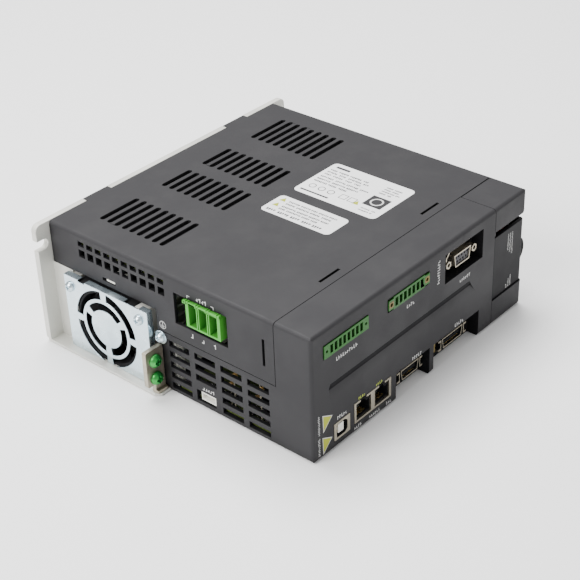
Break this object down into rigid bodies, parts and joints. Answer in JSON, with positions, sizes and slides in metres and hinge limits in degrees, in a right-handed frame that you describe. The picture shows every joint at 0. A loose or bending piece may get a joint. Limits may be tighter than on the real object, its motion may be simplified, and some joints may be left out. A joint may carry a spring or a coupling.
{
  "type": "servo drive",
  "caption": "Book-style servo drive with a finned heat sink, fan guard, vented case, plug-in connectors and a flip door over its keypad.",
  "frame": {"origin": "on the resting side face, under the centre of the bounding box", "axes": "+X along the installed height from the fan end to the display end, -Y out of the front panel, +Y out of the mounting plate, +Z across the width; the drive lies on its side"},
  "size_m": [0.2224, 0.2018, 0.08],
  "materials": {
    "cast_alloy": "die-cast, matt, slightly grainy",
    "case_plastic": "fine-grained dark warm grey moulding",
    "door_plastic": "satin smoked dark grey",
    "black_plastic": "black, satin",
    "green_plastic": "glossy connector green",
    "zinc_sheet": "bright zinc plate, slightly bluish",
    "nickel": "tin or nickel plate, warm, satin",
    "screw_green": "green passivated screw",
    "board_green": "green solder mask",
    "white_plastic": "natural white nylon",
    "label_white": "satin white film label",
    "label_grey": "satin light grey film label",
    "dark_module": "black moulding compound",
    "sleeve_blue": "dark blue shrink sleeve",
    "copper_wire": "enamelled copper winding",
    "key_grey": "light grey key caps",
    "lamp_red": "red tinted lens",
    "display_red": "dark red display window"
  },
  "bodies": {
    "case": {"heat_sink": "cast_alloy", "front_housing": "case_plastic", "side_cover": "case_plastic", "rating_label": "label_white", "caution_label": "label_grey", "display_frame": "case_plastic", "door_hinge_pin": "nickel", "digit_display": "display_red", "keypad_board": "board_green", "keypad_cable": "label_grey", "charge_lamp": "lamp_red", "fan_frame": "black_plastic", "fan_guard": "zinc_sheet", "guard_screw_1": "zinc_sheet", "guard_screw_2": "zinc_sheet", "earth_terminal": "nickel", "earth_screw_1": "screw_green", "earth_screw_2": "screw_green", "case_screw": "zinc_sheet", "case_washer": "zinc_sheet", "safety_header": "green_plastic", "io_header": "green_plastic", "serial_connector": "nickel", "serial_insert": "dark_module", "jackscrew_1": "nickel", "jackscrew_2": "nickel", "encoder_connector": "nickel", "encoder_body": "black_plastic", "io_connector": "nickel", "io_body": "black_plastic", "usb_socket": "nickel", "network_sockets": "nickel", "network_insert_1": "black_plastic", "network_insert_2": "black_plastic", "motor_header": "green_plastic", "mains_header": "green_plastic", "regen_header": "green_plastic", "aux_connector": "white_plastic", "fan_connector": "white_plastic", "control_board": "board_green", "interface_board": "board_green", "power_board": "board_green", "board_stack": "black_plastic", "board_pillar_1": "nickel", "board_pillar_2": "nickel", "bus_capacitor_1": "sleeve_blue", "bus_capacitor_2": "sleeve_blue", "bus_capacitor_3": "sleeve_blue", "power_module": "dark_module", "rectifier_module": "dark_module", "inrush_relay": "dark_module", "line_choke": "copper_wire", "discharge_resistor": "white_plastic"},
    "door": {"display_door": "door_plastic"},
    "fan": {"fan_rotor": "black_plastic"},
    "mode_key_cap": {"mode_key": "key_grey"},
    "shift_key_cap": {"shift_key": "key_grey"},
    "up_key_cap": {"up_key": "key_grey"},
    "down_key_cap": {"down_key": "key_grey"},
    "set_key_cap": {"set_key": "key_grey"}
  },
  "joints": [
    {"name": "door_swing", "type": "hinge", "parent": "case", "child": "door", "pos_m": [0.0718, -0.09765, 0.039], "axis": [0, 0, -1], "range_deg": [0, 100]},
    {"name": "fan_spin", "type": "hinge", "parent": "case", "child": "fan", "pos_m": [-0.0932, 0.05045, 0.0261], "axis": [1, 0, 0], "continuous": true},
    {"name": "mode_press", "type": "slide", "parent": "case", "child": "mode_key_cap", "axis": [0, 1, 0], "range_m": [0, 0.0007], "stiffness_N_per_m": 400},
    {"name": "shift_press", "type": "slide", "parent": "case", "child": "shift_key_cap", "axis": [0, 1, 0], "range_m": [0, 0.0007], "stiffness_N_per_m": 400},
    {"name": "up_press", "type": "slide", "parent": "case", "child": "up_key_cap", "axis": [0, 1, 0], "range_m": [0, 0.0007], "stiffness_N_per_m": 400},
    {"name": "down_press", "type": "slide", "parent": "case", "child": "down_key_cap", "axis": [0, 1, 0], "range_m": [0, 0.0007], "stiffness_N_per_m": 400},
    {"name": "set_press", "type": "slide", "parent": "case", "child": "set_key_cap", "axis": [0, 1, 0], "range_m": [0, 0.0007], "stiffness_N_per_m": 400}
  ]
}
